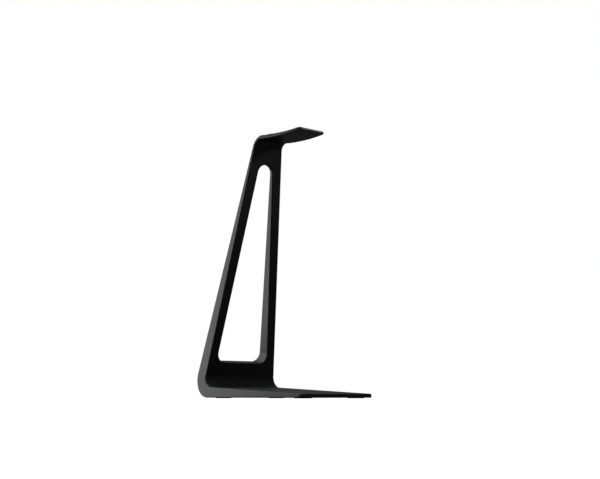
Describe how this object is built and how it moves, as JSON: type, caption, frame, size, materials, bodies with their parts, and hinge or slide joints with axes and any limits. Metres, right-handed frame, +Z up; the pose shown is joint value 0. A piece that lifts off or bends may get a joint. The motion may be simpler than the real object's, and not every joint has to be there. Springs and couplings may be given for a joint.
{
  "type": "headphone stand",
  "caption": "Free-standing headphone stand: a C-shaped body with a thin tapered base, a leaning upright with a long slot, and a short dished arm for the headband.",
  "frame": {"origin": "On the desk surface, below the middle of the stand's length and width.", "axes": "+Z up; +X to the stand's own left, across the width; -Y forward, the way the arm and the base tip point."},
  "size_m": [0.0926, 0.1673, 0.2681],
  "materials": {
    "black_shell": "satin black moulded plastic with a fine even texture",
    "black_cover": "satin black moulded plastic",
    "steel_weight": "plain steel plate",
    "zinc_screw": "dull zinc-plated steel",
    "soft_pad": "matte black soft rubber",
    "rubber_foot": "matte black rubber"
  },
  "bodies": {
    "root": {"frame_shell": "black_shell", "rear_cover": "black_cover", "base_cover": "black_cover", "base_weight": "steel_weight", "base_screws": "zinc_screw", "saddle_pad": "soft_pad", "foot_front_left": "rubber_foot", "foot_front_right": "rubber_foot", "foot_rear_left": "rubber_foot", "foot_rear_right": "rubber_foot"}
  },
  "joints": []
}
